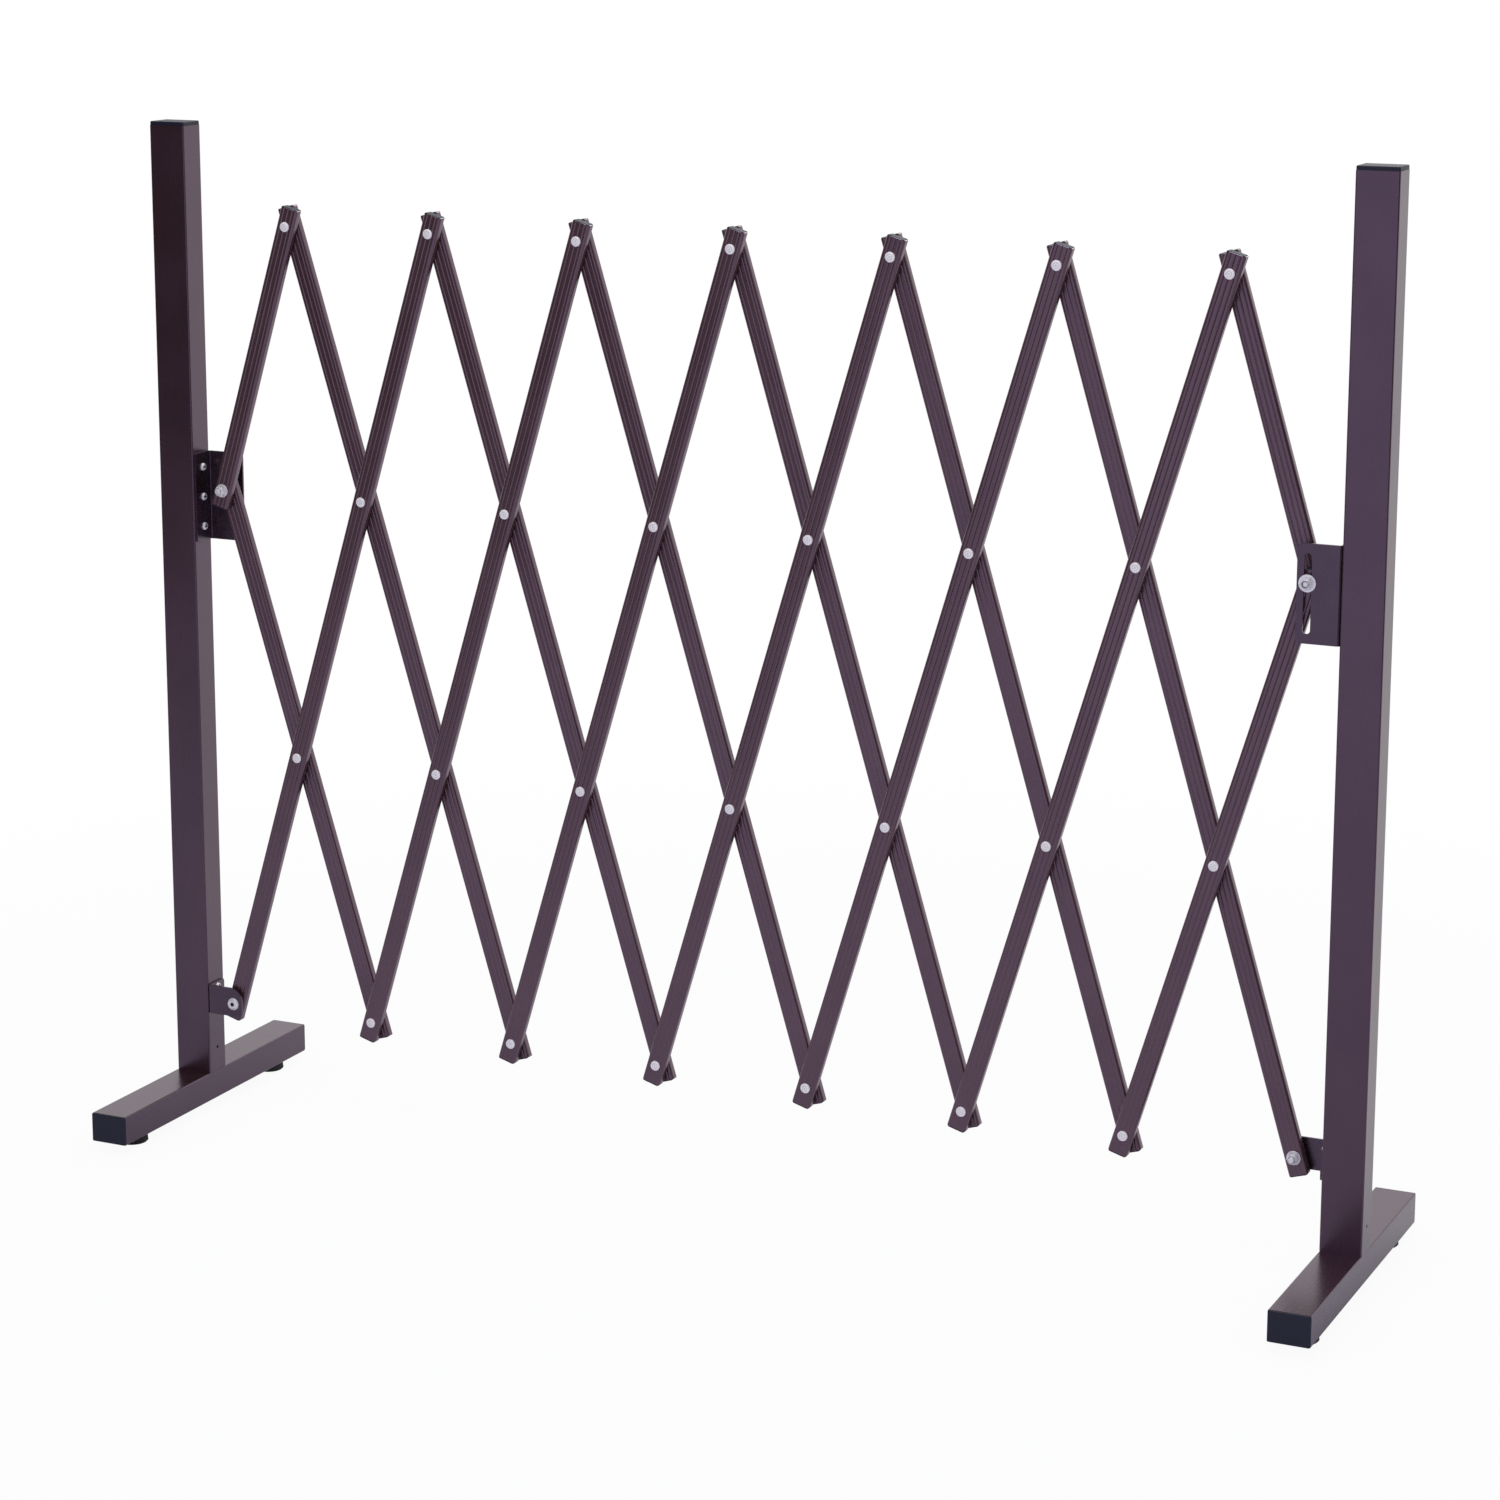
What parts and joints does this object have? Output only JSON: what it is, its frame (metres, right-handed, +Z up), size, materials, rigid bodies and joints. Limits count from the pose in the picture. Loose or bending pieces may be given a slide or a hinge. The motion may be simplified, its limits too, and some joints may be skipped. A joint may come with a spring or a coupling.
{
  "type": "expandable barrier",
  "caption": "Free-standing expandable barrier: a riveted scissor lattice of fluted bars slides out between two posts on crossing feet, closing off a passage.",
  "frame": {"origin": "on the floor, midway between the two posts at the half-open rest width and midway through the lattice's depth", "axes": "+X along the barrier from the left post to the right one, +Y towards the back, +Z up"},
  "size_m": [1.2788, 0.346, 1.03],
  "materials": {
    "bar_aluminium": "satin",
    "tube_aluminium": "satin",
    "bracket_steel": "satin",
    "black_plastic": "matte",
    "rubber": "matte",
    "rivet_aluminium": "satin",
    "zinc_steel": "satin"
  },
  "bodies": {
    "left_stand": {"left_post": "tube_aluminium", "left_foot": "tube_aluminium", "left_tube_caps": "black_plastic", "left_foot_pads": "rubber", "left_post_plug": "black_plastic", "left_screws": "zinc_steel", "left_upper_bracket": "bracket_steel", "left_lower_bracket": "bracket_steel", "left_pivot_bolt": "zinc_steel"},
    "right_stand": {"right_post": "tube_aluminium", "right_foot": "tube_aluminium", "right_tube_caps": "black_plastic", "right_foot_pads": "rubber", "right_post_plug": "black_plastic", "right_screws": "zinc_steel", "right_upper_bracket": "bracket_steel", "right_lower_bracket": "bracket_steel", "right_pivot_bolt": "zinc_steel"},
    "front_bar_1": {"front_bar_1": "bar_aluminium", "front_plugs_1": "black_plastic", "rivets_1": "rivet_aluminium", "left_slide_bolt": "zinc_steel"},
    "rear_bar_1": {"rear_bar_1": "bar_aluminium", "rear_plugs_1": "black_plastic"},
    "front_bar_2": {"front_bar_2": "bar_aluminium", "front_plugs_2": "black_plastic", "rivets_2": "rivet_aluminium"},
    "rear_bar_2": {"rear_bar_2": "bar_aluminium", "rear_plugs_2": "black_plastic"},
    "front_bar_3": {"front_bar_3": "bar_aluminium", "front_plugs_3": "black_plastic", "rivets_3": "rivet_aluminium"},
    "rear_bar_3": {"rear_bar_3": "bar_aluminium", "rear_plugs_3": "black_plastic"},
    "front_bar_4": {"front_bar_4": "bar_aluminium", "front_plugs_4": "black_plastic", "rivets_4": "rivet_aluminium"},
    "rear_bar_4": {"rear_bar_4": "bar_aluminium", "rear_plugs_4": "black_plastic"},
    "front_bar_5": {"front_bar_5": "bar_aluminium", "front_plugs_5": "black_plastic", "rivets_5": "rivet_aluminium"},
    "rear_bar_5": {"rear_bar_5": "bar_aluminium", "rear_plugs_5": "black_plastic"},
    "front_bar_6": {"front_bar_6": "bar_aluminium", "front_plugs_6": "black_plastic", "rivets_6": "rivet_aluminium"},
    "rear_bar_6": {"rear_bar_6": "bar_aluminium", "rear_plugs_6": "black_plastic"},
    "front_bar_7": {"front_bar_7": "bar_aluminium", "front_plugs_7": "black_plastic", "rivets_7": "rivet_aluminium"},
    "rear_bar_7": {"rear_bar_7": "bar_aluminium", "rear_plugs_7": "black_plastic"},
    "front_bar_8": {"front_bar_8": "bar_aluminium", "front_plugs_8": "black_plastic", "rivets_8": "rivet_aluminium", "right_slide_bolt": "zinc_steel"},
    "rear_bar_8": {"rear_bar_8": "bar_aluminium", "rear_plugs_8": "black_plastic"}
  },
  "joints": [
    {"name": "front_bar_2_turn", "type": "hinge", "parent": "left_stand", "child": "front_bar_2", "pos_m": [-0.5684, 0, 0.12], "axis": [0, 1, 0], "range_deg": [-14.67, 11.33]},
    {"name": "rear_bar_3_turn", "type": "hinge", "parent": "front_bar_2", "child": "rear_bar_3", "pos_m": [-0.3248, 0, 0.93017], "axis": [0, 1, 0], "range_deg": [-22.66, 29.34]},
    {"name": "front_bar_5_turn", "type": "hinge", "parent": "rear_bar_3", "child": "front_bar_5", "pos_m": [-0.0812, 0, 0.12], "axis": [0, 1, 0], "range_deg": [-29.34, 22.66]},
    {"name": "rear_bar_6_turn", "type": "hinge", "parent": "front_bar_5", "child": "rear_bar_6", "pos_m": [0.1624, 0, 0.93017], "axis": [0, 1, 0], "range_deg": [-22.66, 29.34]},
    {"name": "front_bar_8_turn", "type": "hinge", "parent": "rear_bar_6", "child": "front_bar_8", "pos_m": [0.406, 0, 0.12], "axis": [0, 1, 0], "range_deg": [-29.34, 22.66]},
    {"name": "rear_bar_7_turn", "type": "hinge", "parent": "front_bar_8", "child": "rear_bar_7", "pos_m": [0.4872, 0, 0.39006], "axis": [0, 1, 0], "range_deg": [-22.66, 29.34]},
    {"name": "right_stand_turn", "type": "hinge", "parent": "rear_bar_7", "child": "right_stand", "pos_m": [0.5684, 0, 0.12], "axis": [0, 1, 0], "range_deg": [-14.67, 11.33]},
    {"name": "rear_bar_1_turn", "type": "hinge", "parent": "front_bar_2", "child": "rear_bar_1", "pos_m": [-0.4872, 0, 0.39006], "axis": [0, 1, 0], "range_deg": [-22.66, 29.34]},
    {"name": "rear_bar_2_turn", "type": "hinge", "parent": "front_bar_2", "child": "rear_bar_2", "pos_m": [-0.406, 0, 0.66011], "axis": [0, 1, 0], "range_deg": [-22.66, 29.34]},
    {"name": "front_bar_1_turn", "type": "hinge", "parent": "rear_bar_2", "child": "front_bar_1", "pos_m": [-0.4872, 0, 0.93017], "axis": [0, 1, 0], "range_deg": [-29.34, 22.66]},
    {"name": "front_bar_3_turn", "type": "hinge", "parent": "rear_bar_3", "child": "front_bar_3", "pos_m": [-0.2436, 0, 0.66011], "axis": [0, 1, 0], "range_deg": [-29.34, 22.66]},
    {"name": "front_bar_4_turn", "type": "hinge", "parent": "rear_bar_3", "child": "front_bar_4", "pos_m": [-0.1624, 0, 0.39006], "axis": [0, 1, 0], "range_deg": [-29.34, 22.66]},
    {"name": "rear_bar_4_turn", "type": "hinge", "parent": "front_bar_5", "child": "rear_bar_4", "pos_m": [0, 0, 0.39006], "axis": [0, 1, 0], "range_deg": [-22.66, 29.34]},
    {"name": "rear_bar_5_turn", "type": "hinge", "parent": "front_bar_5", "child": "rear_bar_5", "pos_m": [0.0812, 0, 0.66011], "axis": [0, 1, 0], "range_deg": [-22.66, 29.34]},
    {"name": "front_bar_6_turn", "type": "hinge", "parent": "rear_bar_6", "child": "front_bar_6", "pos_m": [0.2436, 0, 0.66011], "axis": [0, 1, 0], "range_deg": [-29.34, 22.66]},
    {"name": "front_bar_7_turn", "type": "hinge", "parent": "rear_bar_6", "child": "front_bar_7", "pos_m": [0.3248, 0, 0.39006], "axis": [0, 1, 0], "range_deg": [-29.34, 22.66]},
    {"name": "rear_bar_8_turn", "type": "hinge", "parent": "front_bar_7", "child": "rear_bar_8", "pos_m": [0.4872, 0, 0.93017], "axis": [0, 1, 0], "range_deg": [-22.66, 29.34]}
  ],
  "couplings": [
    {"joint": "rear_bar_3_turn", "follows": "front_bar_2_turn", "ratio": -2},
    {"joint": "front_bar_5_turn", "follows": "front_bar_2_turn", "ratio": 2},
    {"joint": "rear_bar_6_turn", "follows": "front_bar_2_turn", "ratio": -2},
    {"joint": "front_bar_8_turn", "follows": "front_bar_2_turn", "ratio": 2},
    {"joint": "rear_bar_7_turn", "follows": "front_bar_2_turn", "ratio": -2},
    {"joint": "right_stand_turn", "follows": "front_bar_2_turn", "ratio": 1},
    {"joint": "rear_bar_1_turn", "follows": "front_bar_2_turn", "ratio": -2},
    {"joint": "rear_bar_2_turn", "follows": "front_bar_2_turn", "ratio": -2},
    {"joint": "front_bar_1_turn", "follows": "front_bar_2_turn", "ratio": 2},
    {"joint": "front_bar_3_turn", "follows": "front_bar_2_turn", "ratio": 2},
    {"joint": "front_bar_4_turn", "follows": "front_bar_2_turn", "ratio": 2},
    {"joint": "rear_bar_4_turn", "follows": "front_bar_2_turn", "ratio": -2},
    {"joint": "rear_bar_5_turn", "follows": "front_bar_2_turn", "ratio": -2},
    {"joint": "front_bar_6_turn", "follows": "front_bar_2_turn", "ratio": 2},
    {"joint": "front_bar_7_turn", "follows": "front_bar_2_turn", "ratio": 2},
    {"joint": "rear_bar_8_turn", "follows": "front_bar_2_turn", "ratio": -2}
  ]
}
